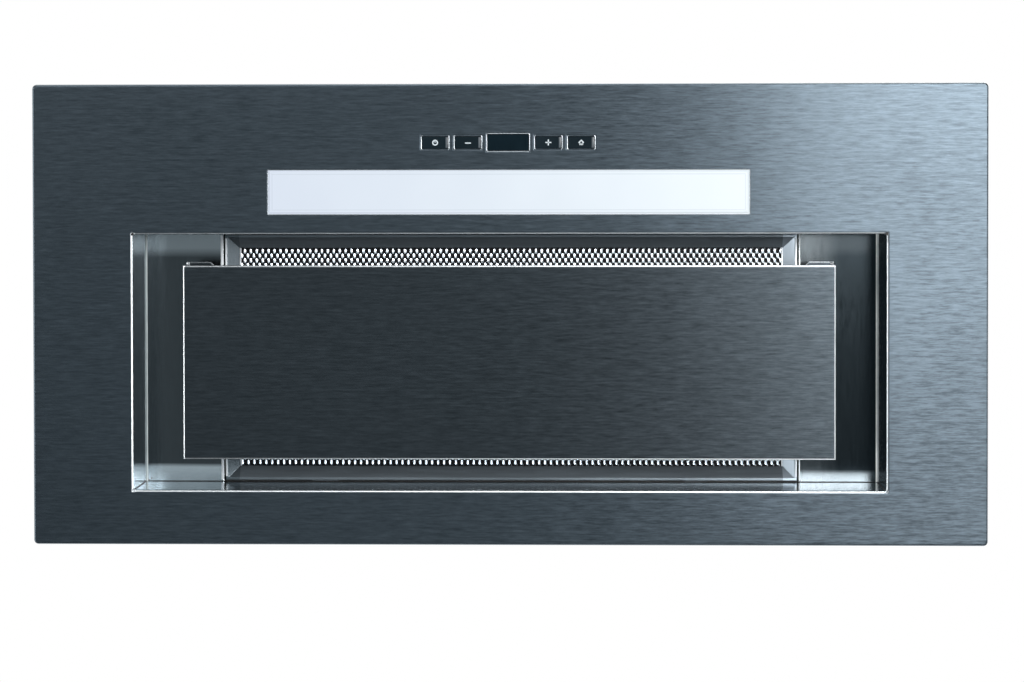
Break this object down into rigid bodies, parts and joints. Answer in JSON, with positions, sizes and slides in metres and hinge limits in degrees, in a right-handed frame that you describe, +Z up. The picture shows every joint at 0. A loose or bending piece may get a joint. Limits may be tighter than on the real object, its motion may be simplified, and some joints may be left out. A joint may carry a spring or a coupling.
{
  "type": "built-in range hood",
  "caption": "Cabinet-insert range hood with brushed steel fascia, hinged cover plate over a grease filter, light strip, push-button controls, blower and duct collar.",
  "frame": {"origin": "middle of the fascia's visible underside", "axes": "+Z up in use, towards the duct; +X to the hood's right as seen in the picture; -Y towards the cook, the edge with the controls"},
  "size_m": [0.6, 0.29, 0.289],
  "materials": {
    "brushed_fascia": "brushed stainless steel, grain along X, dark blue-grey",
    "brushed_cover": "brushed stainless steel, grain along X",
    "recess_steel": "satin stainless steel, grain along Y",
    "filter_aluminium": "satin rolled aluminium",
    "filter_mesh": "bright expanded aluminium",
    "spring_steel": "polished spring steel",
    "zinc_steel": "zinc-plated steel",
    "casing_steel": "galvanised sheet steel",
    "nickel": "nickel plate",
    "bezel_chrome": "bright chrome plate",
    "diffuser": "frosted white acrylic",
    "display_glass": "smoked window",
    "button_black": "black, with grey symbols",
    "latch_plastic": "black nylon",
    "board": "green circuit board",
    "lamp_chip": "yellow phosphor",
    "white_plastic": "white",
    "collar_plastic": "black polypropylene",
    "flap_plastic": "dark grey polypropylene",
    "wheel_plastic": "dark grey moulded nylon",
    "motor_paint": "dark grey",
    "grommet_rubber": "black rubber",
    "terminal_plastic": "light grey",
    "gland_plastic": "black nylon"
  },
  "bodies": {
    "hood": {"fascia_panel": "brushed_fascia", "recess_floor": "recess_steel", "keeper_springs": "spring_steel", "hinge_bracket_left": "zinc_steel", "hinge_bracket_right": "zinc_steel", "hinge_rivets": "zinc_steel", "magnet_posts": "latch_plastic", "magnets": "nickel", "led_diffuser": "diffuser", "led_tray": "zinc_steel", "led_board": "board", "led_chips": "lamp_chip", "led_driver": "white_plastic", "button_bezels": "bezel_chrome", "display_bezel": "bezel_chrome", "display_window": "display_glass", "display_module": "button_black", "control_frame": "latch_plastic", "tact_switches": "button_black", "control_board": "board", "control_box": "zinc_steel", "lower_casing": "casing_steel", "blower_box": "casing_steel", "side_bracket_left": "zinc_steel", "side_bracket_right": "zinc_steel", "duct_collar": "collar_plastic", "volute_left": "collar_plastic", "volute_right": "collar_plastic", "motor_case": "motor_paint", "motor_bracket": "zinc_steel", "grommets": "grommet_rubber", "motor_screws": "zinc_steel", "capacitor": "white_plastic", "capacitor_clip": "zinc_steel", "terminal_box": "terminal_plastic", "terminal_lid": "terminal_plastic", "cable_gland": "gland_plastic", "casing_nuts": "zinc_steel", "box_screws": "zinc_steel", "collar_screws": "zinc_steel", "lid_screws": "zinc_steel", "bracket_screws": "zinc_steel"},
    "cover": {"cover_panel": "brushed_cover", "hinge_pins": "zinc_steel"},
    "filter": {"filter_frame": "filter_aluminium", "filter_front_mesh": "filter_mesh", "filter_core": "filter_mesh", "filter_rear_mesh": "filter_mesh", "latch_springs": "spring_steel"},
    "left_latch": {"filter_latch_left": "latch_plastic"},
    "right_latch": {"filter_latch_right": "latch_plastic"},
    "power_button": {"button_power": "button_black"},
    "minus_button": {"button_minus": "button_black"},
    "plus_button": {"button_plus": "button_black"},
    "light_button": {"button_light": "button_black"},
    "wheel": {"impeller": "wheel_plastic", "motor_shaft": "zinc_steel"},
    "left_flap": {"flap_left": "flap_plastic"},
    "right_flap": {"flap_right": "flap_plastic"}
  },
  "joints": [
    {"name": "cover_hinge", "type": "hinge", "parent": "hood", "child": "cover", "pos_m": [0, 0.086, 0.01], "axis": [1, 0, 0], "range_deg": [0, 90]},
    {"name": "filter_tilt", "type": "hinge", "parent": "hood", "child": "filter", "pos_m": [0, 0.1105, 0.0362], "axis": [1, 0, 0], "range_deg": [0, 12], "deforming": ["keeper_springs"]},
    {"name": "latch_left_slide", "type": "slide", "parent": "filter", "child": "left_latch", "axis": [1, 0, 0], "range_m": [0, 0.005], "stiffness_N_per_m": 600, "springref_m": -0.002, "deforming": ["latch_springs"]},
    {"name": "latch_right_slide", "type": "slide", "parent": "filter", "child": "right_latch", "axis": [-1, 0, 0], "range_m": [0, 0.005], "stiffness_N_per_m": 600, "springref_m": -0.002, "deforming": ["latch_springs"]},
    {"name": "power_button_press", "type": "slide", "parent": "hood", "child": "power_button", "axis": [0, 0, 1], "range_m": [0, 0.0008], "stiffness_N_per_m": 500, "springref_m": -0.001},
    {"name": "minus_button_press", "type": "slide", "parent": "hood", "child": "minus_button", "axis": [0, 0, 1], "range_m": [0, 0.0008], "stiffness_N_per_m": 500, "springref_m": -0.001},
    {"name": "plus_button_press", "type": "slide", "parent": "hood", "child": "plus_button", "axis": [0, 0, 1], "range_m": [0, 0.0008], "stiffness_N_per_m": 500, "springref_m": -0.001},
    {"name": "light_button_press", "type": "slide", "parent": "hood", "child": "light_button", "axis": [0, 0, 1], "range_m": [0, 0.0008], "stiffness_N_per_m": 500, "springref_m": -0.001},
    {"name": "impeller_spin", "type": "hinge", "parent": "hood", "child": "wheel", "pos_m": [0, -0.049, 0.145], "axis": [1, 0, 0], "continuous": true},
    {"name": "flap_left_swing", "type": "hinge", "parent": "hood", "child": "left_flap", "pos_m": [-0.0055, 0, 0.2617], "axis": [0, 1, 0], "range_deg": [0, 80]},
    {"name": "flap_right_swing", "type": "hinge", "parent": "hood", "child": "right_flap", "pos_m": [0.0055, 0, 0.2617], "axis": [0, -1, 0], "range_deg": [0, 80]}
  ]
}
